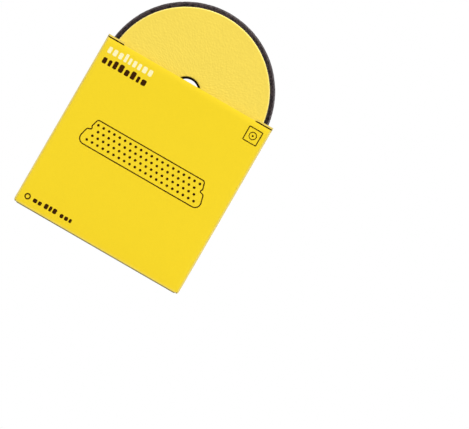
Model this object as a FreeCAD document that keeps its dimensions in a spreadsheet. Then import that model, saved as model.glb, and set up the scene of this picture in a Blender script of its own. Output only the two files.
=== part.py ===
import FreeCAD, Part
import Sketcher
import os
import re

# A round foam polishing pad, half pulled out of its folded card sleeve.
# Millimetres. X runs along the sleeve's width, the printed front panel faces -Y and the open
# mouth is at the top (+Z). The origin is the middle of the sleeve's underside.

DRIVING_DIMENSIONS = {
    # card sleeve
    "SleeveWidth": 47.6,
    "SleeveHeight": 47.9,
    "CardThickness": 0.4,
    "FrontInset": 0.35,  # the side folds show this far past each side of the front panel
    "FlapReach": 4.5,  # from the outside of a side wall to the free edge of its glue flap
    "FlapProud": 0.6,  # side walls and flaps stand this far above the front panel's edge
    "FlapFootCut": 3.0,  # slanted cut at the bottom of each glue flap
    "FlapFootGap": 1.2,  # glue flaps start this far above the underside
    "WallFootGap": 0.05,  # side walls end this far above the bottom panel
    "GlueThickness": 0.1,
    "GlueMargin": 0.4,  # the glue stays this far inside the flap's edges
    "BottomCornerRadius": 1.0,
    "FoldRadius": 0.35,
    "PadPlay": 0.3,  # air on each side of the pad, front and back
    # foam pad
    "PadDiameter": 45.0,
    "HoleDiameter": 6.3,
    "LoopDiameter": 42.5,
    "LoopHoleDiameter": 7.3,
    "LoopThickness": 0.9,
    "FilmThickness": 0.1,
    "FilmMargin": 0.25,  # the adhesive films stay this far inside the piece in front of them
    "BackingFoamThickness": 2.6,
    "BackingFoamDiameter": 43.4,
    "WaistRounding": 0.5,
    "CuttingFoamThickness": 5.7,
    "ShoulderRadius": 0.9,
    "RimRadius": 2.0,
    "PadCentreBelowMouth": 2.3,
}

# Lengths that follow from the driving dimensions, kept as formulas for the expressions.
FLAP_FRONT = "(CardThickness + GlueThickness)"
WALL_FOOT = "(CardThickness + WallFootGap)"
PAD_FRONT = "(2 * CardThickness + GlueThickness + PadPlay)"
PAD_THICKNESS = "(LoopThickness + 2 * FilmThickness + BackingFoamThickness + CuttingFoamThickness)"
SLEEVE_DEPTH = f"({PAD_FRONT} + {PAD_THICKNESS} + PadPlay + CardThickness)"
FRONT = f"(-{SLEEVE_DEPTH} / 2)"
PAD_CENTRE_HEIGHT = "(SleeveHeight - PadCentreBelowMouth)"

doc = FreeCAD.newDocument("FoamPadInSleeve")


def make_sheet():
    sheet = doc.addObject("Spreadsheet::Sheet", "Sheet")
    for row, (alias, value) in enumerate(DRIVING_DIMENSIONS.items(), start=1):
        sheet.set(f"A{row}", alias)
        sheet.set(f"B{row}", str(value))
        sheet.setAlias(f"B{row}", alias)
    doc.recompute()


def formula(text):
    """Turn a formula of dimension names into an expression that reads the sheet."""
    return re.sub(r"[A-Z]\w+", r"Sheet.\g<0>", text)


def bind(thing, prop, text):
    thing.setExpression(prop, formula(text))


def place(thing, corner):
    for axis, text in zip("xyz", corner):
        bind(thing, f".Placement.Base.{axis}", text)


def new_body(label):
    body = doc.addObject("PartDesign::Body", label)
    body.Label = label
    return body


def front_sketch(body, name):
    """An empty sketch on the body's own XZ plane: its axes are the body's X and Z."""
    plane = next(f for f in body.Origin.OriginFeatures if f.Role == "XZ_Plane")
    sketch = body.newObject("Sketcher::SketchObject", name)
    sketch.AttachmentSupport = (plane, "")
    sketch.MapMode = "FlatFace"
    return sketch


def add_circle(sketch, diameter):
    """A circle about the sketch's origin, its diameter bound to a formula."""
    draft_radius = 1 + sketch.GeometryCount  # any size will do: the constraint sets the true one
    circle = Part.Circle(FreeCAD.Vector(), FreeCAD.Vector(0, 0, 1), draft_radius)
    index = sketch.addGeometry(circle)
    sketch.addConstraint(Sketcher.Constraint("Coincident", index, 3, -1, 1))
    size = sketch.addConstraint(Sketcher.Constraint("Diameter", index, 2.0))
    bind(sketch, f"Constraints[{size}]", diameter)


def add_rectangle(sketch, width, height):
    """A rectangle with its lower left corner on the sketch's origin."""
    corners = [FreeCAD.Vector(x, y) for x, y in ((0, 0), (1, 0), (1, 1), (0, 1))]
    for start, end in zip(corners, corners[1:] + corners[:1]):
        sketch.addGeometry(Part.LineSegment(start, end))
    for line in range(4):
        sketch.addConstraint(Sketcher.Constraint("Coincident", line, 2, (line + 1) % 4, 1))
    for line, direction in enumerate(("Horizontal", "Vertical", "Horizontal", "Vertical")):
        sketch.addConstraint(Sketcher.Constraint(direction, line))
    sketch.addConstraint(Sketcher.Constraint("Coincident", 0, 1, -1, 1))
    across = sketch.addConstraint(Sketcher.Constraint("DistanceX", 0, 1, 0, 2, 1.0))
    upward = sketch.addConstraint(Sketcher.Constraint("DistanceY", 1, 1, 1, 2, 1.0))
    bind(sketch, f"Constraints[{across}]", width)
    bind(sketch, f"Constraints[{upward}]", height)


def pad_backwards(body, sketch, thickness):
    """Pad the sketch towards +Y, away from the sleeve's front."""
    pad = body.newObject("PartDesign::Pad", f"{body.Label}_pad")
    pad.Profile = sketch
    pad.Reversed = True
    bind(pad, "Length", thickness)
    doc.recompute()
    return pad


def dress_edges(body, kind, size, wanted):
    """Fillet or chamfer the edges whose bounding box passes the wanted test."""
    base = body.Tip
    names = [
        f"Edge{number}"
        for number, edge in enumerate(base.Shape.Edges, start=1)
        if wanted(edge.BoundBox)
    ]
    if not names:
        raise RuntimeError(f"{body.Label}: no edge to {kind.lower()}")
    feature = body.newObject(f"PartDesign::{kind}", f"{body.Label}_{kind.lower()}_{len(body.Group)}")
    feature.Base = (base, names)
    bind(feature, "Radius" if kind == "Fillet" else "Size", size)
    doc.recompute()
    return feature


def panel(label, size, corner):
    """A flat piece of card: its three sizes, and its corner with the lowest X, Y and Z."""
    width, thickness, height = size
    body = new_body(label)
    sketch = front_sketch(body, f"{label}_outline")
    add_rectangle(sketch, width, height)
    pad_backwards(body, sketch, thickness)
    place(body, corner)
    doc.recompute()
    return body


def near(value, target):
    return abs(value - target) < 1e-4


def rounded_panel(label, size, corner):
    """A main panel of the sleeve, with its two bottom corners rounded."""
    body = panel(label, size, corner)
    width = body.Shape.BoundBox.XLength

    def is_bottom_corner(box):
        return near(box.Center.z, 0) and (near(box.Center.x, 0) or near(box.Center.x, width))

    dress_edges(body, "Fillet", "BottomCornerRadius", is_bottom_corner)
    return body


def front_panel():
    """The printed panel, narrower than the sleeve so that the side folds show past it."""
    return rounded_panel(
        "front_panel",
        ("SleeveWidth - 2 * FrontInset", "CardThickness", "SleeveHeight"),
        ("-(SleeveWidth / 2 - FrontInset)", FRONT, "0"),
    )


def back_panel():
    return rounded_panel(
        "back_panel",
        ("SleeveWidth", "CardThickness", "SleeveHeight"),
        ("-SleeveWidth / 2", f"{FRONT} + {SLEEVE_DEPTH} - CardThickness", "0"),
    )


def bottom_panel():
    """The strip that the front and the back panel fold up from."""
    return panel(
        "bottom_panel",
        ("SleeveWidth - 2 * BottomCornerRadius", f"{SLEEVE_DEPTH} - 2 * CardThickness", "CardThickness"),
        ("-(SleeveWidth / 2 - BottomCornerRadius)", f"{FRONT} + CardThickness", "0"),
    )


def side_wall(side, sign):
    """The narrow wall between the back panel and a glue flap, rounded along its front fold."""
    inner_corner = "-SleeveWidth / 2" if sign < 0 else "SleeveWidth / 2 - CardThickness"
    body = panel(
        f"{side}_side_wall",
        (
            "CardThickness",
            f"{SLEEVE_DEPTH} - CardThickness - {FLAP_FRONT}",
            f"SleeveHeight + FlapProud - {WALL_FOOT}",
        ),
        (inner_corner, f"{FRONT} + {FLAP_FRONT}", WALL_FOOT),
    )
    outer_x = 0 if sign < 0 else body.Shape.BoundBox.XLength

    def is_front_fold(box):
        return near(box.Center.x, outer_x) and near(box.Center.y, 0)

    dress_edges(body, "Fillet", "FoldRadius", is_front_fold)
    return body


def glue_flap(side, sign):
    """The tab at the front of a side wall, glued to the front panel's inner face."""
    corner_x = "-(SleeveWidth / 2 - CardThickness)" if sign < 0 else "SleeveWidth / 2 - FlapReach"
    body = panel(
        f"{side}_glue_flap",
        ("FlapReach - CardThickness", "CardThickness", "SleeveHeight + FlapProud - FlapFootGap"),
        (corner_x, f"{FRONT} + {FLAP_FRONT}", "FlapFootGap"),
    )
    free_x = body.Shape.BoundBox.XLength if sign < 0 else 0

    def is_free_foot(box):
        return near(box.Center.x, free_x) and near(box.Center.z, 0)

    dress_edges(body, "Chamfer", "FlapFootCut", is_free_foot)
    return body


def glue_strip(side, sign):
    """The dried glue between a flap and the front panel."""
    reach = "FlapReach - FrontInset - 2 * GlueMargin"
    corner_x = "-(SleeveWidth / 2 - FrontInset - GlueMargin)" if sign < 0 else (
        "SleeveWidth / 2 - FlapReach + GlueMargin"
    )
    foot = "(FlapFootGap + FlapFootCut)"
    strip = doc.addObject("Part::Box", f"{side}_glue_strip")
    strip.Label = f"{side}_glue_strip"
    bind(strip, "Length", reach)
    bind(strip, "Width", "GlueThickness")
    bind(strip, "Height", f"SleeveHeight - GlueMargin - {foot}")
    place(strip, (corner_x, f"{FRONT} + CardThickness", foot))
    doc.recompute()
    return strip


def disc(label, outer, hole, thickness, front):
    """A flat ring about the pad's axis: its front face is this far behind the sleeve's front."""
    body = new_body(label)
    sketch = front_sketch(body, f"{label}_outline")
    add_circle(sketch, outer)
    add_circle(sketch, hole)
    pad_backwards(body, sketch, thickness)
    place(body, ("0", f"{FRONT} + {front}", PAD_CENTRE_HEIGHT))
    doc.recompute()
    return body


def loop_backing():
    """The loop fabric disc that a machine's hook plate grips; its hole shows the foam's edge."""
    return disc("loop_backing", "LoopDiameter", "LoopHoleDiameter", "LoopThickness", PAD_FRONT)


def loop_adhesive_film():
    return disc(
        "loop_adhesive_film",
        "LoopDiameter - 2 * FilmMargin",
        "LoopHoleDiameter + 2 * FilmMargin",
        "FilmThickness",
        f"{PAD_FRONT} + LoopThickness",
    )


def backing_foam():
    """The firm foam layer, flaring from the loop disc's edge to the waist groove."""
    front = f"{PAD_FRONT} + LoopThickness + FilmThickness"
    cone = doc.addObject("Part::Cone", "backing_foam_cone")
    bind(cone, "Radius1", "LoopDiameter / 2")
    bind(cone, "Radius2", "BackingFoamDiameter / 2")
    bind(cone, "Height", "BackingFoamThickness")
    doc.recompute()
    rounded = doc.addObject("Part::Fillet", "backing_foam_rounded")
    rounded.Base = cone
    waist_edge = 1 + max(range(len(cone.Shape.Edges)), key=lambda i: cone.Shape.Edges[i].Length)
    # a fillet's edge list can't hold an expression, so this radius comes straight from the table
    waist_rounding = DRIVING_DIMENSIONS["WaistRounding"]
    rounded.Edges = [(waist_edge, waist_rounding, waist_rounding)]
    hole = doc.addObject("Part::Cylinder", "backing_foam_hole")
    bind(hole, "Radius", "HoleDiameter / 2")
    bind(hole, "Height", "BackingFoamThickness")
    foam = doc.addObject("Part::Cut", "backing_foam")
    foam.Label = "backing_foam"
    foam.Base = rounded
    foam.Tool = hole
    # The primitives stand on Z; this turn lays their axis along +Y, towards the back.
    foam.Placement = FreeCAD.Placement(FreeCAD.Vector(), FreeCAD.Rotation(FreeCAD.Vector(1, 0, 0), -90))
    place(foam, ("0", f"{FRONT} + {front}", PAD_CENTRE_HEIGHT))
    doc.recompute()
    return foam


def foam_glue_film():
    return disc(
        "foam_glue_film",
        "BackingFoamDiameter - 2 * WaistRounding - 2 * FilmMargin",
        "HoleDiameter + 2 * FilmMargin",
        "FilmThickness",
        f"{PAD_FRONT} + LoopThickness + FilmThickness + BackingFoamThickness",
    )


def cutting_foam():
    """The thick working layer: a small round shoulder at the waist, a larger one at the face."""
    body = disc(
        "cutting_foam",
        "PadDiameter",
        "HoleDiameter",
        "CuttingFoamThickness",
        f"{PAD_FRONT} + {PAD_THICKNESS} - CuttingFoamThickness",
    )
    thickness = body.Shape.BoundBox.YLength

    def is_outer_rim(box):
        return box.XLength > thickness * 2

    dress_edges(
        body, "Fillet", "ShoulderRadius", lambda box: is_outer_rim(box) and near(box.Center.y, 0)
    )
    dress_edges(
        body, "Fillet", "RimRadius", lambda box: is_outer_rim(box) and near(box.Center.y, thickness)
    )
    return body


def check_document(parts):
    """Stop with a plain message if anything failed to build."""
    for thing in doc.Objects:
        if "Invalid" in thing.State or "Error" in thing.State:
            raise RuntimeError(f"{thing.Label} didn't build: {thing.State}")
    for part in parts:
        if part.Shape.isNull() or not part.Shape.isValid():
            raise RuntimeError(f"{part.Label} has no valid shape")
        if len(part.Shape.Solids) != 1:
            raise RuntimeError(f"{part.Label} has {len(part.Shape.Solids)} solids, not one")


def export(parts):
    os.makedirs("parts", exist_ok=True)
    for part in parts:
        part.Shape.exportStep(f"parts/{part.Label}.step")
        box = part.Shape.BoundBox
        size = f"{box.XLength:.2f} x {box.YLength:.2f} x {box.ZLength:.2f} mm"
        print(f"{part.Label}: {size}, {part.Shape.Volume:.2f} mm3")


make_sheet()
parts = [
    front_panel(),
    back_panel(),
    bottom_panel(),
    loop_backing(),
    loop_adhesive_film(),
    backing_foam(),
    foam_glue_film(),
    cutting_foam(),
]
for side, sign in (("left", -1), ("right", 1)):
    parts += [side_wall(side, sign), glue_flap(side, sign), glue_strip(side, sign)]
doc.recompute()
check_document(parts)
export(parts)
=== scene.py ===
"""Looks for a round foam polishing pad, half pulled out of its folded card sleeve.

The CAD frame is in metres: +X along the sleeve's width, -Y towards the viewer of the printed
front panel, +Z up towards the open mouth. Lengths here are metres too, written as numbers of MM.
"""

import math
import random

import bmesh
import bpy
import numpy as np
from mathutils import Matrix, Vector


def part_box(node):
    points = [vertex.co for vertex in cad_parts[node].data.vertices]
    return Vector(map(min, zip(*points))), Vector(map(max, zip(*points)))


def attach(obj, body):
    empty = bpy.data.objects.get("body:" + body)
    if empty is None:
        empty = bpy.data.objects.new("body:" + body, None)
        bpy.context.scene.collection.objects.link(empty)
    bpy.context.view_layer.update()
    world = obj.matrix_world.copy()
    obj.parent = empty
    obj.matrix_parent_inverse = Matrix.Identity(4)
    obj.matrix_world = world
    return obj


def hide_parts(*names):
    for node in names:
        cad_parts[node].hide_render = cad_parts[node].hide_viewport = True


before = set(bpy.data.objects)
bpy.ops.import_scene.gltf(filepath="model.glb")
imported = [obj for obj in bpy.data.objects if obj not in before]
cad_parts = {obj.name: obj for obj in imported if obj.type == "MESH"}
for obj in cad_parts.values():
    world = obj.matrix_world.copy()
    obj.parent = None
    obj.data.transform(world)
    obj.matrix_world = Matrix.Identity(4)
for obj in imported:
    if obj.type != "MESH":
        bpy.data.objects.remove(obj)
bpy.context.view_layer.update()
MM = 0.001

# ---------------------------------------------------------------- places, read from the frame

FRONT_LOW, FRONT_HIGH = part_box("front_panel")
BACK_LOW, BACK_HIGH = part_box("back_panel")
FLAP_LOW, FLAP_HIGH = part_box("right_glue_flap")
LOOP_LOW, LOOP_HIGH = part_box("loop_backing")
BACKING_LOW, BACKING_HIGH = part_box("backing_foam")
CUTTING_LOW, CUTTING_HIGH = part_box("cutting_foam")

CARD = BACK_HIGH.y - BACK_LOW.y
MOUTH = FRONT_HIGH.z
HALF_WIDTH = BACK_HIGH.x
PAD_CENTRE = Vector((0, 0, (CUTTING_LOW.z + CUTTING_HIGH.z) / 2))
PAD_RADIUS = (CUTTING_HIGH.x - CUTTING_LOW.x) / 2
LOOP_RADIUS = (LOOP_HIGH.x - LOOP_LOW.x) / 2
BACKING_RADIUS = (BACKING_HIGH.x - BACKING_LOW.x) / 2


def hole_radius(node):
    """The smallest distance of a pad layer's vertices from the pad's axis."""
    points = np.array([v.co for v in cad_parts[node].data.vertices])
    return float(np.hypot(points[:, 0], points[:, 2] - PAD_CENTRE.z).min())


LOOP_HOLE = hole_radius("loop_backing")
FOAM_HOLE = hole_radius("cutting_foam")

# ---------------------------------------------------------------- mesh helpers


def new_object(name, vertices, faces, materials, smooth=True):
    """Make a mesh object with these materials and put it in the scene."""
    mesh = bpy.data.meshes.new(name)
    mesh.from_pydata([tuple(v) for v in vertices], [], faces)
    mesh.validate()
    mesh.polygons.foreach_set("use_smooth", [smooth] * len(mesh.polygons))
    for material in materials:
        mesh.materials.append(material)
    thing = bpy.data.objects.new(name, mesh)
    bpy.context.scene.collection.objects.link(thing)
    return thing


def apply_modifiers(thing):
    """Freeze a piece's modifiers into its mesh."""
    evaluated = thing.evaluated_get(bpy.context.evaluated_depsgraph_get())
    mesh = bpy.data.meshes.new_from_object(evaluated)
    thing.modifiers.clear()
    thing.data = mesh


def face_outwards(mesh):
    """Turn every face of a closed mesh outwards."""
    work = bmesh.new()
    work.from_mesh(mesh)
    bmesh.ops.recalc_face_normals(work, faces=work.faces)
    work.to_mesh(mesh)
    work.free()


def arc(centre, radius, start, end, steps):
    """Points on a flat arc, the angles in degrees."""
    angles = np.radians(np.linspace(start, end, steps + 1))
    return [(centre[0] + radius * math.cos(a), centre[1] + radius * math.sin(a)) for a in angles]


def circle(centre, radius, steps):
    """Points round a full circle."""
    return arc(centre, radius, 0, 360 - 360 / steps, steps - 1)


def grid_faces(rows, columns):
    """Quads between rows of vertices, counted row by row."""
    faces = []
    for i in range(rows - 1):
        for j in range(columns - 1):
            here, above = i * columns + j, (i + 1) * columns + j
            faces.append((here, here + 1, above + 1, above))
    return faces


def random_offsets(cubes, seed):
    """Three numbers from 0 to 1 for each whole-number grid cube, the same in every run.

    An integer hash: large odd factors scatter the numbers of neighbouring cubes.
    """
    mixed = (cubes * np.array([73856093, 19349663, 83492791])).sum(axis=1) + seed * 1013
    offsets = []
    for _ in range(3):
        mixed = (mixed ^ (mixed >> 15)) * 2246822519 & 0xFFFFFFFF
        mixed = (mixed ^ (mixed >> 13)) * 3266489917 & 0xFFFFFFFF
        offsets.append(mixed / 0xFFFFFFFF)
    return np.stack(offsets, axis=1)


def cell_walls(points, cell, seed, wall):
    """How far each point is inside a foam cell: 0 on the walls between cells, 1 well inside.

    The cells are the nearest-neighbour regions of one random point per grid cube; wall is the
    share of a cell's size that its walls take up.
    """
    scaled = points / cell
    base = np.floor(scaled).astype(np.int64)
    nearest = np.full(len(points), 9.0)
    second = np.full(len(points), 9.0)
    for step in np.ndindex(3, 3, 3):
        cube = base + np.array(step) - 1
        distance = np.linalg.norm(cube + random_offsets(cube, seed) - scaled, axis=1)
        second = np.minimum(second, np.maximum(nearest, distance))
        nearest = np.minimum(nearest, distance)
    return np.clip((second - nearest) / wall, 0, 1)


# ---------------------------------------------------------------- material helpers


class Nodes:
    """A small wrapper that keeps node set-ups short."""

    def __init__(self, name):
        self.material = bpy.data.materials.new(name)
        self.material.use_nodes = True
        self.tree = self.material.node_tree
        self.shader = self.tree.nodes["Principled BSDF"]
        self.place = self.add("ShaderNodeTexCoord").outputs["Object"]

    def add(self, kind, **values):
        """Add a node: a value is an attribute, an input to set, or a socket to link to one."""
        node = self.tree.nodes.new(kind)
        for key, value in values.items():
            name = key.replace("_", " ")
            if hasattr(node, key) and name not in node.inputs:
                setattr(node, key, value)
            else:
                self.put(node.inputs[name], value)
        return node

    def put(self, socket, value):
        if isinstance(value, bpy.types.NodeSocket):
            self.tree.links.new(value, socket)
        else:
            socket.default_value = value

    def set(self, **values):
        """Set inputs of the main shader."""
        for key, value in values.items():
            self.put(self.shader.inputs[key.replace("_", " ")], value)

    def noise(self, size, detail=3.0, roughness=0.5):
        """Noise whose blobs are about this many metres across."""
        node = self.add(
            "ShaderNodeTexNoise", Vector=self.place, Scale=1 / size, Detail=detail, Roughness=roughness
        )
        return node.outputs["Fac"]

    def ramp(self, factor, stops):
        """A colour ramp from (position, colour) stops."""
        node = self.add("ShaderNodeValToRGB", Fac=factor)
        elements = node.color_ramp.elements
        while len(elements) < len(stops):
            elements.new(0.5)
        for element, (position, colour) in zip(elements, stops):
            element.position = position
            element.color = (*colour, 1)
        return node.outputs["Color"]

    def math(self, operation, *values):
        node = self.tree.nodes.new("ShaderNodeMath")
        node.operation = operation
        for socket, value in zip(node.inputs, values):
            self.put(socket, value)
        return node.outputs[0]

    def mix(self, factor, first, second):
        """A mix of two colours, each a socket or an (r, g, b)."""
        node = self.tree.nodes.new("ShaderNodeMix")
        node.data_type = "RGBA"
        self.put(node.inputs[0], factor)
        colour_inputs, colour_output = (6, 7), 2  # the mix node's sockets for its RGBA type
        for place, colour in zip(colour_inputs, (first, second)):
            self.put(node.inputs[place], (*colour, 1) if isinstance(colour, tuple) else colour)
        return node.outputs[colour_output]

    def bump(self, height, strength, distance):
        node = self.add("ShaderNodeBump", Height=height, Strength=strength, Distance=distance)
        self.put(self.shader.inputs["Normal"], node.outputs["Normal"])


def tint(colour, factor):
    """The colour made darker or paler by this factor."""
    return tuple(min(1.0, c * factor) for c in colour)


# ---------------------------------------------------------------- materials

CARD_YELLOW = (0.874, 0.640, 0.0120)
WORN_YELLOW = (0.95, 0.80, 0.30)
# painted highlight along the loop disc's rim
LOOP_RIM_HIGHLIGHT_YELLOW = (0.96, 0.80, 0.26)
# painted shade at the front's foot; also mixed in on the flaps' top above the mouth
SCUFF_AND_SHADE_YELLOW = (0.36, 0.28, 0.09)
LOOP_YELLOW = (0.880, 0.670, 0.093)
CUTTING_CHARCOAL = (0.0122, 0.0084, 0.0084)
# painted shade: darker and browner than the cutting foam, so that the waist groove looks shaded
BACKING_SHADED_BLACK = (0.0045, 0.0028, 0.0018)
INK_BLACK = (0.042, 0.013, 0.001)
INK_WHITE = (0.95, 0.88, 0.50)
GLUE_CREAM = (0.80, 0.76, 0.62)
FILM_BLACK = (0.045, 0.038, 0.032)

# attributes that the meshes carry for their materials
FOLD_WEAR = "fold_wear"
CARD_SCUFF_AND_SHADE = "card_scuff_and_shade"
PAINTED_HOLLOW_SHADE = "painted_hollow_shade"  # painted shade: 0 on a foam cell's wall or a loop's tip, 1 deep between, where the materials darken


def coated_card():
    """Yellow ink on coated card: paper grain, paler wear on the folds, painted shade along the front's
    foot and a darker tone mixed in on the flaps' top.
    """
    nodes = Nodes("coated_card")
    fibres = nodes.noise(0.5 * MM, detail=6, roughness=0.7)
    grain = nodes.noise(0.16 * MM, detail=6, roughness=0.7)
    printed = nodes.ramp(fibres, [(0.3, tint(CARD_YELLOW, 0.985)), (0.7, tint(CARD_YELLOW, 1.01))])
    fold = nodes.add("ShaderNodeAttribute", attribute_name=FOLD_WEAR).outputs["Fac"]
    shade_and_scuff = nodes.add("ShaderNodeAttribute", attribute_name=CARD_SCUFF_AND_SHADE).outputs["Fac"]
    worn = nodes.math("MULTIPLY", fold, nodes.math("MULTIPLY_ADD", fibres, 0.9, 0.15))
    faded = nodes.mix(worn, printed, WORN_YELLOW)
    nodes.set(
        Base_Color=nodes.mix(shade_and_scuff, faded, SCUFF_AND_SHADE_YELLOW), Roughness=0.6, Specular_IOR_Level=0.15
    )
    nodes.bump(grain, 0.25, 0.02 * MM)
    return nodes.material


def plain_card():
    """The sleeve's unprinted inside: pale grey board with short fibres."""
    nodes = Nodes("plain_card")
    fibres = nodes.noise(0.35 * MM, detail=7, roughness=0.75)
    nodes.set(
        Base_Color=nodes.ramp(fibres, [(0.3, (0.66, 0.63, 0.56)), (0.7, (0.80, 0.78, 0.71))]),
        Roughness=0.9,
        Specular_IOR_Level=0.1,
    )
    nodes.bump(fibres, 0.4, 0.03 * MM)
    return nodes.material


def card_core():
    """The pale fibres on the card's cut edges."""
    nodes = Nodes("card_core")
    fibres = nodes.noise(0.12 * MM, detail=5, roughness=0.8)
    nodes.set(
        Base_Color=nodes.ramp(fibres, [(0.25, (0.72, 0.60, 0.24)), (0.75, (0.90, 0.80, 0.46))]),
        Roughness=0.9,
        Specular_IOR_Level=0.1,
    )
    nodes.bump(fibres, 0.5, 0.04 * MM)
    return nodes.material


def flat_ink(name, colour):
    """Printing ink: even, with a slight gloss where it sits on the card's grain."""
    nodes = Nodes(name)
    grain = nodes.noise(0.16 * MM, detail=6, roughness=0.7)
    nodes.set(
        Base_Color=nodes.ramp(grain, [(0.2, tint(colour, 0.92)), (0.8, tint(colour, 1.06))]),
        Roughness=0.6,
        Specular_IOR_Level=0.03,
    )
    nodes.bump(grain, 0.2, 0.015 * MM)
    return nodes.material


def loop_fabric():
    """Brushed loop fabric: short soft pile, with painted shade between the tufts and a painted
    highlight making it paler towards its cut rim.
    """
    nodes = Nodes("loop_fabric")
    pile = nodes.noise(0.22 * MM, detail=8, roughness=0.75)
    cloud = nodes.noise(4 * MM, detail=3)
    between = nodes.add("ShaderNodeAttribute", attribute_name=PAINTED_HOLLOW_SHADE).outputs["Fac"]
    shade = nodes.math("MULTIPLY_ADD", pile, 0.8, nodes.math("MULTIPLY", cloud, 0.2))
    # painted shade: darker between the tufts
    shade = nodes.math("MULTIPLY_ADD", between, -0.08, shade)
    fabric = nodes.ramp(shade, [(0.28, tint(LOOP_YELLOW, 0.965)), (0.68, tint(LOOP_YELLOW, 1.035))])
    flattened = nodes.add(
        "ShaderNodeMapping", Location=-PAD_CENTRE, Scale=(1, 0, 1), Vector=nodes.place
    ).outputs["Vector"]
    from_axis = nodes.add("ShaderNodeVectorMath", operation="LENGTH", Vector=flattened)
    # painted highlight: paler towards the disc's rim
    rim = nodes.add(
        "ShaderNodeMapRange",
        Value=from_axis.outputs["Value"],
        From_Min=LOOP_RADIUS - 0.35 * MM,
        From_Max=LOOP_RADIUS - 0.1 * MM,
        To_Max=0.6,
    ).outputs["Result"]
    nodes.set(
        Base_Color=nodes.mix(rim, fabric, LOOP_RIM_HIGHLIGHT_YELLOW),
        Roughness=0.95,
        Specular_IOR_Level=0.05,
        Sheen_Weight=0.25,
        Sheen_Roughness=0.5,
    )
    nodes.bump(pile, 0.28, 0.08 * MM)
    return nodes.material


def open_cell_foam(name, colour, dusty):
    """Open-cell foam: painted shade makes the cells and the fine pores in them dark, the walls between
    them lighter.

    dusty is the weight of a thin purple-grey sheen, as on foam seen at a slant.
    """
    nodes = Nodes(name)
    cells = nodes.add("ShaderNodeAttribute", attribute_name=PAINTED_HOLLOW_SHADE).outputs["Fac"]
    pores = nodes.add(
        "ShaderNodeTexVoronoi", feature="DISTANCE_TO_EDGE", Vector=nodes.place, Scale=1 / (0.32 * MM)
    ).outputs["Distance"]
    # painted shade: dark deep in the cells and pores, lighter on the walls between
    depth = nodes.math("MULTIPLY_ADD", pores, 0.9, nodes.math("MULTIPLY", cells, 0.8))
    nodes.set(
        Base_Color=nodes.ramp(
            depth,
            [
                (0.05, tint(colour, 5.0)),
                (0.30, tint(colour, 1.7)),
                (0.75, tint(colour, 0.12)),
            ],
        ),
        Roughness=0.8,
        Specular_IOR_Level=0.12,
        Sheen_Weight=dusty,
        Sheen_Roughness=0.4,
        Sheen_Tint=(1.0, 0.86, 0.90, 1),
    )
    nodes.bump(nodes.math("MULTIPLY", depth, -1.0), 0.6, 0.10 * MM)
    return nodes.material


def adhesive(name, colour, roughness):
    """Glue or film, a little streaky."""
    nodes = Nodes(name)
    streaks = nodes.noise(0.6 * MM, detail=4)
    nodes.set(
        Base_Color=nodes.ramp(streaks, [(0.3, tint(colour, 0.85)), (0.7, colour)]),
        Roughness=roughness,
    )
    nodes.bump(streaks, 0.3, 0.03 * MM)
    return nodes.material


COATED_CARD = coated_card()
PLAIN_CARD = plain_card()
CARD_CORE = card_core()
BLACK_INK = flat_ink("black_ink", INK_BLACK)
WHITE_INK = flat_ink("white_ink", INK_WHITE)
LOOP_FABRIC = loop_fabric()
CUTTING_FOAM = open_cell_foam("cutting_foam", CUTTING_CHARCOAL, dusty=0.13)
BACKING_FOAM = open_cell_foam("backing_foam", BACKING_SHADED_BLACK, dusty=0.02)
DRIED_GLUE = adhesive("dried_glue", GLUE_CREAM, roughness=0.4)
ADHESIVE_FILM = adhesive("adhesive_film", FILM_BLACK, roughness=0.35)

# ---------------------------------------------------------------- the folded sleeve

SIDE_FOLD = 0.5 * MM  # outer radius of the vertical folds
CREASE_RIDGE = 0.09 * MM  # how far the creased board stands out beside those folds
CREASE_REACH = 1.1 * MM  # how wide that ridge is
BOTTOM_FOLD = 0.45 * MM  # outer radius of the bottom panel's folds
CORNER = 1.0 * MM  # rounded bottom corners
CORNER_INSET = 0.8 * MM  # how far those corners draw the card in at the very bottom
WALL_FOOT = 0.15 * MM  # the side walls end this far above the bottom
FLAP_FOOT_CUT = 3.0 * MM  # how much a flap's slanted foot rises
FRONT_BOW = 0.15 * MM  # the front panel's mouth springs out by this much between the flaps
BACK_BOW = 0.20 * MM
WEAR_WIDTH = 0.38 * MM  # how far the wear reaches to each side of a fold
# how high the painted shade at the front's foot reaches
FOOT_SHADE_HEIGHT = 0.20 * MM

# mesh steps
FOLD_STEPS = 6
FLAT_STEPS = 40
HEIGHT_STEPS = 28
WALL_STEPS = 16
FLAP_STEPS = 6
CORNER_STEPS = 5
BOTTOM_STEPS = 8


def front_bow(x, z):
    """How far the front panel stands out: nothing over the glued flaps or at the bottom fold."""
    across = max(0.0, 1 - (x / FLAP_LOW.x) ** 2)
    return FRONT_BOW * across ** 2 * max(0.0, z / MOUTH) ** 2


def back_bow(x, z):
    """The same for the back panel, between its folds."""
    across = max(0.0, 1 - (x / (HALF_WIDTH - SIDE_FOLD)) ** 2)
    return BACK_BOW * across ** 2 * max(0.0, z / MOUTH) ** 2


def wall_x(y):
    """The side wall's outer face: flat in the middle, with a low ridge along each fold."""
    front, back = FLAP_LOW.y + SIDE_FOLD, BACK_HIGH.y - SIDE_FOLD
    nearest = min(abs(y - front), abs(y - back))
    return HALF_WIDTH + CREASE_RIDGE * math.exp(-((nearest / CREASE_REACH) ** 2))


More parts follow.
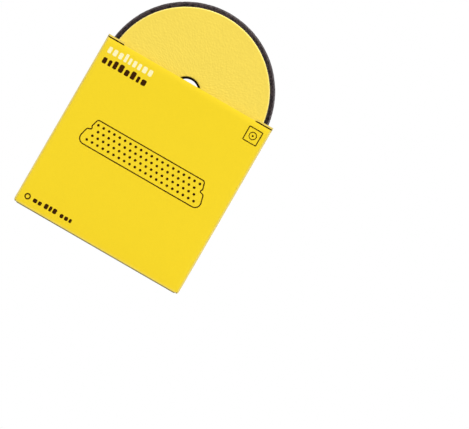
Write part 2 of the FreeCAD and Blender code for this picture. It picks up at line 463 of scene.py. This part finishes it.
def wrap_outline():
    """The sleeve's outer line seen from above, from the left flap round the back to the right."""
    flap_y = FLAP_LOW.y
    corner_x = HALF_WIDTH - SIDE_FOLD
    front, back = flap_y + SIDE_FOLD, BACK_HIGH.y - SIDE_FOLD

    def fold(centre_y, start, end):
        reach = (SIDE_FOLD + CREASE_RIDGE) / SIDE_FOLD
        round_part = arc((0, centre_y), SIDE_FOLD, start, end, FOLD_STEPS)
        return [(corner_x + x * reach, y) for x, y in round_part]

    half = [(x, BACK_HIGH.y) for x in np.linspace(0, corner_x, FLAT_STEPS // 2 + 1)]
    half += fold(back, 90, 0)[1:]
    half += [(wall_x(y), y) for y in np.linspace(back, front, WALL_STEPS + 1)][1:]
    half += fold(front, 0, -90)[1:]
    half += [(x, flap_y) for x in np.linspace(corner_x, FLAP_LOW.x, FLAP_STEPS + 1)][1:]
    return [(-x, y) for x, y in reversed(half[1:])] + half


def corner_inset(z):
    """How far the sleeve's rounded bottom corners draw its sides in at this height."""
    drop = max(0.0, 1 - z / CORNER)
    return CORNER_INSET * (1 - math.sqrt(1 - drop * drop))


def curtain_foot(x, y):
    """Where the sheet ends below: low at the walls, higher round the back folds and along the
    flaps, whose slanted foot rises towards their free edge."""
    inwards = max(0.0, HALF_WIDTH - abs(x))
    if y > 0:
        return WALL_FOOT + (CORNER - WALL_FOOT) * min(1.0, inwards / SIDE_FOLD)
    run = inwards / (HALF_WIDTH - FLAP_LOW.x)
    return WALL_FOOT + (FLAP_LOW.z - WALL_FOOT) * min(1.0, run * 4) + FLAP_FOOT_CUT * run ** 1.2


def wrap_mesh():
    """Back panel, side walls and glue flaps, as a curtain along the outline."""
    outline = wrap_outline()
    near_foot = np.linspace(0, CORNER / MOUTH, CORNER_STEPS + 1)[:-1]
    shares = np.concatenate([near_foot, np.linspace(CORNER / MOUTH, 1, HEIGHT_STEPS + 1)])
    vertices = []
    for share in shares:
        for x, y in outline:
            low = curtain_foot(x, y)
            z = low + share * (MOUTH - low)
            bow = back_bow(x, z) if y == BACK_HIGH.y else 0
            side = corner_inset(z) if abs(x) > HALF_WIDTH - SIDE_FOLD else 0
            vertices.append((x - math.copysign(side, x), y + bow, z))
    columns = len(outline)
    faces = grid_faces(len(shares), columns)
    # walls and flaps stand a little above the back and the front panel
    top_row = (len(shares) - 1) * columns
    raised = {}
    for j, (x, y) in enumerate(outline):
        if y < BACK_HIGH.y - SIDE_FOLD / 2:
            raised[j] = len(vertices)
            vertices.append((x, y, FLAP_HIGH.z))
    for j in range(columns - 1):
        if j in raised and j + 1 in raised:
            faces.append((top_row + j, top_row + j + 1, raised[j + 1], raised[j]))
    return vertices, faces


def tray_mesh():
    """The back panel's rounded foot, the bottom panel and the front panel, as one strip."""
    back_y, front_y = BACK_HIGH.y, FRONT_LOW.y
    path = [(back_y, z) for z in np.linspace(CORNER, BOTTOM_FOLD, CORNER_STEPS)]
    path += arc((back_y - BOTTOM_FOLD, BOTTOM_FOLD), BOTTOM_FOLD, 0, -90, FOLD_STEPS)[1:]
    flat = np.linspace(back_y - BOTTOM_FOLD, front_y + BOTTOM_FOLD, BOTTOM_STEPS + 1)
    path += [(y, 0.0) for y in flat][1:]
    path += arc((front_y + BOTTOM_FOLD, BOTTOM_FOLD), BOTTOM_FOLD, 270, 180, FOLD_STEPS)[1:]
    path += [(front_y, z) for z in np.linspace(BOTTOM_FOLD, CORNER, CORNER_STEPS)][1:]
    path += [(front_y, z) for z in np.linspace(CORNER, MOUTH, HEIGHT_STEPS + 1)][1:]
    vertices = []
    for y, z in path:
        half = (HALF_WIDTH - SIDE_FOLD if y > 0 else FRONT_HIGH.x) - corner_inset(z)
        for share in np.linspace(-1, 1, FLAT_STEPS + 1):
            x = share * half
            bow = back_bow(x, z) if y == back_y else 0
            if y == front_y:
                bow = -front_bow(x, z)
            vertices.append((x, y + bow, z))
    return vertices, grid_faces(len(path), FLAT_STEPS + 1)


def mark_folds(mesh):
    """Store where the card is worn along its folds, the painted shade at the front's foot, and the
    flaps' top above the mouth, mixed towards both the worn and the dark colour.
    """
    points = np.array([v.co for v in mesh.vertices])
    x, y, z = np.abs(points[:, 0]), points[:, 1], points[:, 2]
    inset = 0.12 * MM  # from a fold's sharp corner to its round face
    side_x = x - (HALF_WIDTH - inset)
    distances = [
        np.hypot(side_x, y - (BACK_HIGH.y - inset)),
        np.hypot(side_x, y - (FLAP_LOW.y + inset)),
        np.hypot(z - inset, y - (BACK_HIGH.y - inset)),
        np.hypot(z - inset, y - (FRONT_LOW.y + inset)),
    ]
    wear = np.exp(-((np.min(distances, axis=0) / WEAR_WIDTH) ** 2))
    # painted shade: the front panel's foot darkened, as a contact shadow where it stands
    shade_and_scuff = np.clip(1.6 - z / FOOT_SHADE_HEIGHT, 0, 1) * (y < FRONT_LOW.y + BOTTOM_FOLD)
    # the flaps' top above the mouth is mixed towards both the worn and the dark colour
    above_mouth = np.clip((z - MOUTH) / (FLAP_HIGH.z - MOUTH), 0, 1)
    wear = np.maximum(wear, 0.8 * above_mouth)
    shade_and_scuff = np.maximum(shade_and_scuff, 0.6 * above_mouth)
    for name, values in ((FOLD_WEAR, wear), (CARD_SCUFF_AND_SHADE, shade_and_scuff)):
        attribute = mesh.attributes.new(name, "FLOAT", "POINT")
        attribute.data.foreach_set("value", values.astype(np.float32))


def card_sleeve():
    """One sheet of card, folded: the two strips share the back panel's lower edge."""
    vertices, faces = wrap_mesh()
    more_vertices, more_faces = tray_mesh()
    first = len(vertices)
    vertices += more_vertices
    faces += [tuple(first + i for i in face) for face in more_faces]
    sleeve = new_object("card_sleeve", vertices, faces, [COATED_CARD, PLAIN_CARD, CARD_CORE])
    work = bmesh.new()
    work.from_mesh(sleeve.data)
    bmesh.ops.remove_doubles(work, verts=work.verts, dist=0.002 * MM)
    bmesh.ops.recalc_face_normals(work, faces=work.faces)
    work.faces.ensure_lookup_table()
    back = max(work.faces, key=lambda f: f.calc_center_median().y)
    if back.normal.y < 0:
        bmesh.ops.reverse_faces(work, faces=work.faces)
    work.to_mesh(sleeve.data)
    work.free()
    thicken = sleeve.modifiers.new("card", "SOLIDIFY")
    thicken.thickness = CARD
    thicken.offset = -1
    thicken.use_even_offset = True
    thicken.material_offset = 1
    thicken.material_offset_rim = 2
    soften = sleeve.modifiers.new("cut_edges", "BEVEL")
    soften.width = 0.05 * MM
    soften.segments = 2
    soften.limit_method = "ANGLE"
    soften.angle_limit = math.radians(50)
    apply_modifiers(sleeve)
    mark_folds(sleeve.data)
    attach(sleeve, "sleeve")
    paired = [f"{side}_{part}" for side in ("left", "right") for part in ("side_wall", "glue_flap")]
    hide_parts("front_panel", "back_panel", "bottom_panel", *paired)


# ---------------------------------------------------------------- printing on the front panel

INK = 0.02 * MM  # how thick the ink is modelled
INK_STRIP = 1.5 * MM  # the ink follows the panel's bow in strips this wide
LINE = 0.30 * MM  # the section drawing's line
LEFT_MARGIN = 1.75 * MM  # from the sleeve's left side to the printed rows


def panel_surface(x, z, lift):
    """The point this far in front of the front panel's printed face."""
    return (x, FRONT_LOW.y - front_bow(x, z) - lift, z)


def width_across(face):
    """How far a face reaches along the sleeve's width."""
    places = [vertex.co.x for vertex in face.verts]
    return max(places) - min(places)


def ink_slab(name, shapes, ink):
    """One printed piece made of flat outlines, each a list of (x, z), laid on the front panel."""
    work = bmesh.new()
    for shape in shapes:
        work.faces.new([work.verts.new((x, 0, z)) for x, z in shape])
    bmesh.ops.remove_doubles(work, verts=work.verts, dist=0.0005 * MM)
    for x in np.arange(-HALF_WIDTH, HALF_WIDTH, INK_STRIP):
        wide = [face for face in work.faces if width_across(face) > INK_STRIP]
        parts = dict.fromkeys(part for face in wide for part in (face, *face.edges, *face.verts))
        bmesh.ops.bisect_plane(work, geom=list(parts), plane_co=(x, 0, 0), plane_no=(1, 0, 0))
    bmesh.ops.triangulate(work, faces=work.faces)
    bmesh.ops.recalc_face_normals(work, faces=work.faces)
    for face in work.faces:
        if face.normal.y > 0:
            face.normal_flip()
    for vertex in work.verts:
        vertex.co = panel_surface(vertex.co.x, vertex.co.z, INK)
    thing = new_object(name, [], [], [ink])
    work.to_mesh(thing.data)
    work.free()
    thicken = thing.modifiers.new("ink", "SOLIDIFY")
    thicken.thickness = INK * 0.9  # so that its back doesn't lie in the card's face
    thicken.offset = -1
    apply_modifiers(thing)
    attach(thing, "sleeve")


def rounded_bar(x0, z0, x1, z1):
    """A bar with round corners: lower left corner, then upper right corner."""
    radius = min(x1 - x0, z1 - z0) * 0.3
    corners = [
        ((x1 - radius, z1 - radius), 0),
        ((x0 + radius, z1 - radius), 90),
        ((x0 + radius, z0 + radius), 180),
        ((x1 - radius, z0 + radius), 270),
    ]
    outline = []
    for centre, start in corners:
        outline += arc(centre, radius, start, start + 90, 4)
    return outline


def box_outline(x0, z0, x1, z1):
    """A plain rectangle: lower left corner, then upper right corner."""
    return [(x0, z0), (x1, z0), (x1, z1), (x0, z1)]


def directions(line):
    """The unit direction of a closed line at each of its points."""
    along = np.roll(line, -1, axis=0) - np.roll(line, 1, axis=0)
    return along / np.linalg.norm(along, axis=1)[:, None]


def stroke(points, width):
    """Quads that follow a closed line of points at this width."""
    line = np.array(points)
    along = directions(line)
    side = np.stack([-along[:, 1], along[:, 0]], axis=1) * width / 2
    left, right = line + side, line - side
    quads = []
    for i in range(len(line)):
        k = (i + 1) % len(line)
        quads.append([tuple(point) for point in (right[i], right[k], left[k], left[i])])
    return quads


def rounded_polygon(corners, steps=6):
    """A closed outline through (a, b, radius) corners, each corner rounded with an arc."""
    outline = []
    count = len(corners)
    for i in range(count):
        here = Vector(corners[i][:2])
        radius = corners[i][2]
        to_last = (Vector(corners[i - 1][:2]) - here).normalized()
        to_next = (Vector(corners[(i + 1) % count][:2]) - here).normalized()
        half_angle = to_last.angle(to_next) / 2
        reach = radius / math.tan(half_angle)
        middle = here + (to_last + to_next).normalized() * radius / math.sin(half_angle)
        first, last = here + to_last * reach, here + to_next * reach
        for k in range(steps + 1):
            spoke = first.lerp(last, k / steps) - middle
            outline.append(tuple(middle + spoke.normalized() * radius))
    return outline


SECTION_MIDDLE = 0.09 * MM  # the section drawing stands this far to the right of the middle
SECTION_FOOT = MOUTH * 0.4415  # where its lower line runs
SECTION_HALF = [  # the pad's section, half of it: across, up from its foot, corner radius
    (15.50, 7.15, 0.70),
    (16.10, 5.05, 0.50),
    (15.62, 4.35, 0.30),
    (16.90, 3.95, 0.70),
    (17.88, 0.00, 1.55),
]
DOT_ROWS = [(5.97, 20), (4.45, 19), (2.95, 20), (1.43, 21)]  # height above the foot, dots
DOT_PITCH = 1.555 * MM
DOT_RADIUS = 0.355 * MM


def section_drawing():
    """A line drawing of the pad's section with rows of dots for its foam cells."""
    half = [(x * MM, z * MM, r * MM) for x, z, r in SECTION_HALF]
    corners = half + [(-x, z, r) for x, z, r in reversed(half)]
    outline = rounded_polygon([(SECTION_MIDDLE + x, SECTION_FOOT + z, r) for x, z, r in corners])
    ink_slab("section_outline", stroke(outline, LINE), BLACK_INK)
    dots = []
    for height, count in DOT_ROWS:
        for i in range(count):
            x = SECTION_MIDDLE + (i - (count - 1) / 2) * DOT_PITCH
            dots.append(circle((x, SECTION_FOOT + height * MM), DOT_RADIUS, 12))
    ink_slab("section_dots", dots, BLACK_INK)


def block_row(x, z, height, length, blocks, rng):
    """A row of plain blocks in place of a printed word, this long in all, some of them taller."""
    gap = height * 0.25
    shares = [rng.uniform(0.7, 1.3) for _ in range(blocks)]
    scale = (length - gap * (blocks - 1)) / sum(shares)
    bars = []
    for share in shares:
        top = height * rng.choice((0.76, 0.76, 0.76, 1.0))
        width = share * scale
        bars.append(rounded_bar(x, z, x + width, z + top))
        x += width + gap
    return bars


def printed_rows():
    """Two rows of blocks at the top left, white over black, and a thin row at the bottom left."""
    rng = random.Random(12)
    x = LEFT_MARGIN - HALF_WIDTH
    ink_slab("white_row", block_row(x, MOUTH - 3.7 * MM, 2.2 * MM, 12.7 * MM, 9, rng), WHITE_INK)
    ink_slab("black_row", block_row(x, MOUTH - 6.6 * MM, 2.1 * MM, 12.5 * MM, 8, rng), BLACK_INK)
    foot, height = 2.15 * MM, 1.35 * MM
    size_row = []
    for start, length, blocks in ((2.5, 2.4, 2), (5.7, 3.5, 3), (10.3, 3.3, 3)):
        size_row += block_row(x + start * MM, foot, height, length * MM, blocks, rng)
    ring_centre, ring_radius, ring_line = (x + 0.85 * MM, 2.75 * MM), 0.65 * MM, 0.35 * MM
    size_row += stroke(circle(ring_centre, ring_radius, 30), ring_line)
    ink_slab("size_row", size_row, BLACK_INK)


def corner_mark():
    """A square frame at the top right with a plain disc-and-hole sign in it."""
    half_side, corner = 1.875 * MM, 0.15 * MM
    centre_x, centre_z = HALF_WIDTH - 3.45 * MM, MOUTH - 3.66 * MM
    square = [
        (centre_x + across * half_side, centre_z + up * half_side, corner)
        for across, up in ((1, 1), (-1, 1), (-1, -1), (1, -1))
    ]
    frame_line, disc_radius, disc_line, hole = 0.27 * MM, 0.95 * MM, 0.22 * MM, 0.26 * MM
    shapes = stroke(rounded_polygon(square), frame_line)
    shapes += stroke(circle((centre_x, centre_z), disc_radius, 36), disc_line)
    shapes.append(circle((centre_x, centre_z), hole, 12))
    ink_slab("corner_mark", shapes, BLACK_INK)


def mouth_shadow_line(side, sign):
    """A painted shadow: a dark ink line along the front panel's top edge and round the flap's fold,
    for the shade in the gap where a glue flap comes out behind it.
    """
    line = 0.17 * MM  # its height on the panel, and again on the flap
    below = MOUTH - 0.1 * MM  # the flap's line starts behind the panel
    outer, inner = FRONT_HIGH.x - 0.03 * MM, FLAP_LOW.x - 0.22 * MM
    left, right = (inner, outer) if sign > 0 else (-outer, -inner)
    ink_slab(f"{side}_panel_shadow_line", [box_outline(left, MOUTH - line, right, MOUTH)], BLACK_INK)
    # on the flap it runs round the fold, following the sleeve's outline
    middle = Vector((sign * (HALF_WIDTH - SIDE_FOLD), FLAP_LOW.y + SIDE_FOLD))
    path = [
        (x, y)
        for x, y in wrap_outline()
        if x * sign > FLAP_LOW.x - MM and y < FLAP_LOW.y + SIDE_FOLD * 0.75
    ]
    ring = [(below, 0), (below, INK), (MOUTH + line, INK), (MOUTH + line, 0)]
    vertices = []
    for z, lift in ring:
        for x, y in path:
            out = Vector((x, y)) - middle
            out = out.normalized() if abs(x) > HALF_WIDTH - SIDE_FOLD else Vector((0, -1))
            vertices.append((x + out.x * lift, y + out.y * lift, z))
    count = len(path)
    faces = grid_faces(len(ring), count)
    last = (len(ring) - 1) * count
    faces += [(last + j, last + j + 1, j + 1, j) for j in range(count - 1)]
    faces += [tuple(k * count + end for k in range(len(ring))) for end in (0, count - 1)]
    # the painted shadow on the flap
    shadow_line_piece = new_object(f"{side}_flap_shadow_line", vertices, faces, [BLACK_INK], smooth=False)
    face_outwards(shadow_line_piece.data)
    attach(shadow_line_piece, "sleeve")


# ---------------------------------------------------------------- the pad

SEGMENTS = 600  # steps round the pad
PROFILE_STEP = 0.2 * MM
FOAM_CELL = 0.78 * MM
CELL_GROUP = 1.9 * MM  # patches of deeper and shallower cells
CELL_DEPTH = 0.13 * MM
EXTRA_BACK_DEPTH = 0.20 * MM  # the working face at the back is more open
TUFT = 0.55 * MM
TUFT_DEPTH = 0.05 * MM
SAME_FACE = 0.01 * MM  # points this near a glued face belong to it


def resample(outline, step):
    """Points at even steps along a closed outline."""
    line = np.array(outline + outline[:1])
    lengths = np.linalg.norm(np.diff(line, axis=0), axis=1)
    along = np.concatenate([[0], np.cumsum(lengths)])
    count = int(along[-1] / step)
    at = np.linspace(0, along[-1], count, endpoint=False)
    return np.stack([np.interp(at, along, line[:, 0]), np.interp(at, along, line[:, 1])], axis=1)


def turned_ring(name, corners, texture, material):
    """A ring turned about the pad's axis from (radius, y, corner radius) corners.

    texture(points, normals) says how far each point is pressed in, and how much painted shade it gets.
    """
    profile = resample(rounded_polygon(corners), PROFILE_STEP)
    along = directions(profile)
    outward = np.stack([along[:, 1], -along[:, 0]], axis=1)
    centre = profile.mean(axis=0)
    if ((profile - centre) * outward).sum() < 0:
        outward = -outward
    turn = np.radians(np.arange(SEGMENTS) * 360 / SEGMENTS)
    cos, sin = np.cos(turn)[:, None], np.sin(turn)[:, None]

    def spin(pairs):
        radial, axial = pairs[:, 0][None, :], pairs[:, 1][None, :]
        flat = np.stack(np.broadcast_arrays(radial * cos, axial + 0 * cos, radial * sin), axis=-1)
        return flat.reshape(-1, 3)

    points, normals = spin(profile), spin(outward)
    points += np.array(PAD_CENTRE)
    pressed, shade = texture(points, normals)
    points -= normals * pressed[:, None]
    count = len(profile)
    faces = []
    for i in range(SEGMENTS):
        k = (i + 1) % SEGMENTS
        for j in range(count):
            m = (j + 1) % count
            faces.append((i * count + j, i * count + m, k * count + m, k * count + j))
    ring = new_object(name, points, faces, [material])
    face_outwards(ring.data)
    ring.data.attributes.new(PAINTED_HOLLOW_SHADE, "FLOAT", "POINT").data.foreach_set("value", shade)
    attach(ring, "pad")
    return ring


def foam_surface(glued_planes, seed):
    """Open cells pressed into a foam's free faces; its glued faces stay flat."""

    def texture(points, normals):
        cells = cell_walls(points, FOAM_CELL, seed, wall=0.45)
        groups = cell_walls(points, CELL_GROUP, seed + 1, wall=0.5)
        facing_back = np.clip(normals[:, 1], 0, 1)
        depth = CELL_DEPTH + EXTRA_BACK_DEPTH * facing_back
        pressed = depth * cells * (0.5 + 0.5 * groups)
        for y in glued_planes:
            flat = (np.abs(points[:, 1] - y) < SAME_FACE) & (np.abs(normals[:, 1]) > 0.99)
            pressed[flat] = 0
        # the second value is painted shade: dark deep in a cell, more so in patches of deeper cells
        return pressed, cells * (0.4 + 0.6 * groups)

    return texture


def pile_surface(glued_y):
    """The small ups and downs of brushed loops on the backing's front and edge."""

    def texture(points, normals):
        tufts = cell_walls(points, TUFT, seed=7, wall=0.4)
        pressed = TUFT_DEPTH * (1 - tufts)
        pressed[np.abs(points[:, 1] - glued_y) < SAME_FACE] = 0
        # the second value is painted shade: dark between the tufts
        return pressed, 1 - tufts

    return texture


def loop_disc():
    """The pale disc of loop fabric on the pad's front."""
    corners = [
        (LOOP_HOLE, LOOP_LOW.y, 0.2 * MM),
        (LOOP_RADIUS, LOOP_LOW.y, 0.25 * MM),
        (LOOP_RADIUS, LOOP_HIGH.y, 0.05 * MM),
        (LOOP_HOLE, LOOP_HIGH.y, 0.05 * MM),
    ]
    disc = turned_ring("loop_fabric_disc", corners, pile_surface(LOOP_HIGH.y), LOOP_FABRIC)
    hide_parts("loop_backing")


def backing_layer():
    """The narrower foam behind the loops: its side widens a little towards the waist groove."""
    corners = [
        (FOAM_HOLE, BACKING_LOW.y, 0.05 * MM),
        (LOOP_RADIUS, BACKING_LOW.y, 0.1 * MM),
        (BACKING_RADIUS, BACKING_HIGH.y, 0.5 * MM),
        (FOAM_HOLE, BACKING_HIGH.y, 0.05 * MM),
    ]
    cells = foam_surface((BACKING_LOW.y, BACKING_HIGH.y), seed=3)
    layer = turned_ring("backing_foam_layer", corners, cells, BACKING_FOAM)
    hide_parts("backing_foam")


def cutting_layer():
    """The working layer: its side bulges between a small shoulder and a round rim."""
    low, high = CUTTING_LOW.y, CUTTING_HIGH.y
    corners = [
        (FOAM_HOLE, low, 0.05 * MM),
        (PAD_RADIUS - 0.35 * MM, low, 0.9 * MM),
        (PAD_RADIUS + 0.20 * MM, low + 0.5 * (high - low), 3.0 * MM),
        (PAD_RADIUS - 0.3 * MM, high, 1.9 * MM),
        (FOAM_HOLE, high, 0.5 * MM),
    ]
    cells = foam_surface((low,), seed=11)
    layer = turned_ring("cutting_foam_layer", corners, cells, CUTTING_FOAM)
    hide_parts("cutting_foam")


def paint_node(node, material):
    """Give a CAD node that stays as it is a material of its own."""
    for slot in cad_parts[node].material_slots:
        slot.material = material


# ---------------------------------------------------------------- floor, light and camera

FLOOR_RADIUS = 0.30
FLOOR_FADE = (0.07, 0.24)  # distance from the middle: solid floor, then only the backdrop
FLOOR_TILT = (0.02, 0.16)  # sine of the viewing angle above the floor: clear, then solid
FLOOR_WHITE = 0.80
FLOOR_BOUNCE = 0.30  # how pale the floor is for the light it throws back on the object
WORLD_LIGHT = 0.18  # how bright the white backdrop is as a light
LAMPS = [  # name, place, size, power
    ("front", (-0.10, -1.20, 0.50), 0.90, 10.7),
    ("key", (0.12, -0.35, 0.50), 0.25, 1.3),
    ("top", (0.00, 0.05, 0.80), 0.35, 4.2),
    ("right", (1.10, -0.10, 0.35), 0.60, 2.5),
    ("left", (-1.10, 0.10, 0.35), 0.60, 2.0),
    ("back", (0.25, 1.10, 0.40), 0.80, 9.5),
]
LAMP_TARGET = Vector((0, 0, 0.7 * MOUTH))
CAMERA_ROLL = math.radians(30)
LENS = 1200  # very long, so that the view has almost no perspective
SENSOR = 36
VIEW_WIDTH = 2.483 * 2 * HALF_WIDTH
VIEW_CENTRE = Vector((1.103 * HALF_WIDTH, FRONT_LOW.y, 0.518 * MOUTH))


def pale_floor():
    """A pale round floor that fades into the white backdrop, far out and when seen edge-on."""
    rim = [(x, y, 0) for x, y in circle((0, 0), FLOOR_RADIUS, 72)]
    floor = new_object("floor", rim, [tuple(range(len(rim)))], [], smooth=False)
    nodes = Nodes("pale_floor")

    def smooth_step(value, low, high):
        node = nodes.add(
            "ShaderNodeMapRange",
            interpolation_type="SMOOTHSTEP",
            Value=value,
            From_Min=low,
            From_Max=high,
        )
        return node.outputs["Result"]

    distance = nodes.add("ShaderNodeVectorMath", operation="LENGTH", Vector=nodes.place)
    near = nodes.math("SUBTRACT", 1.0, smooth_step(distance.outputs["Value"], *FLOOR_FADE))
    towards_viewer = nodes.add("ShaderNodeNewGeometry").outputs["Incoming"]
    height = nodes.add("ShaderNodeSeparateXYZ", Vector=towards_viewer).outputs["Z"]
    seen = nodes.add("ShaderNodeLightPath").outputs["Is Camera Ray"]
    tilted = nodes.math("MAXIMUM", smooth_step(height, *FLOOR_TILT), nodes.math("SUBTRACT", 1.0, seen))
    white = nodes.mix(seen, (FLOOR_BOUNCE,) * 3, (FLOOR_WHITE,) * 3)
    nodes.set(Base_Color=white, Roughness=0.5, Specular_IOR_Level=0.3)
    clear = nodes.add("ShaderNodeBsdfTransparent")
    mix = nodes.add("ShaderNodeMixShader")
    nodes.put(mix.inputs[0], nodes.math("MULTIPLY", near, tilted))
    nodes.put(mix.inputs[1], clear.outputs[0])
    nodes.put(mix.inputs[2], nodes.shader.outputs[0])
    output = next(node for node in nodes.tree.nodes if node.type == "OUTPUT_MATERIAL")
    nodes.put(output.inputs["Surface"], mix.outputs[0])
    floor.data.materials.append(nodes.material)


def soft_world():
    """White for the camera, a little dimmer as light, so that the lamps can give shape."""
    world = bpy.data.worlds.new("studio")
    world.use_nodes = True
    tree = world.node_tree
    background = tree.nodes["Background"]
    background.inputs["Color"].default_value = (1, 1, 1, 1)
    path = tree.nodes.new("ShaderNodeLightPath")
    strength = tree.nodes.new("ShaderNodeMapRange")
    strength.inputs["To Min"].default_value = WORLD_LIGHT
    strength.inputs["To Max"].default_value = 1.0
    tree.links.new(path.outputs["Is Camera Ray"], strength.inputs["Value"])
    tree.links.new(strength.outputs["Result"], background.inputs["Strength"])
    bpy.context.scene.world = world


def area_light(name, place, size, power):
    """A square soft light aimed at the sleeve's upper half."""
    data = bpy.data.lights.new(name, "AREA")
    data.size = size
    data.energy = power
    light = bpy.data.objects.new(name, data)
    bpy.context.scene.collection.objects.link(light)
    light.location = place
    light.rotation_euler = (LAMP_TARGET - light.location).to_track_quat("-Z", "Y").to_euler()


def rolled_camera():
    """A very long lens, square to the printed panel, rolled so that the sleeve leans."""
    data = bpy.data.cameras.new("camera")
    data.sensor_width = SENSOR
    data.lens = LENS
    distance = VIEW_WIDTH * LENS / SENSOR
    data.clip_start = distance * 0.5
    data.clip_end = distance * 2
    camera = bpy.data.objects.new("camera", data)
    bpy.context.scene.collection.objects.link(camera)
    right = Vector((math.cos(CAMERA_ROLL), 0, math.sin(CAMERA_ROLL)))
    up = Vector((-math.sin(CAMERA_ROLL), 0, math.cos(CAMERA_ROLL)))
    back = right.cross(up)
    turn = Matrix((right, up, back)).transposed().to_4x4()
    camera.matrix_world = Matrix.Translation(VIEW_CENTRE + back * distance) @ turn
    bpy.context.scene.camera = camera


# ---------------------------------------------------------------- build

card_sleeve()
section_drawing()
printed_rows()
corner_mark()
mouth_shadow_line("left", -1)
mouth_shadow_line("right", 1)
loop_disc()
backing_layer()
cutting_layer()
for strip in ("left_glue_strip", "right_glue_strip"):
    paint_node(strip, DRIED_GLUE)
for film in ("loop_adhesive_film", "foam_glue_film"):
    paint_node(film, ADHESIVE_FILM)

pale_floor()
soft_world()
for name, place, size, power in LAMPS:
    area_light(name, Vector(place), size, power)
rolled_camera()
bpy.context.scene.view_settings.view_transform = "Standard"
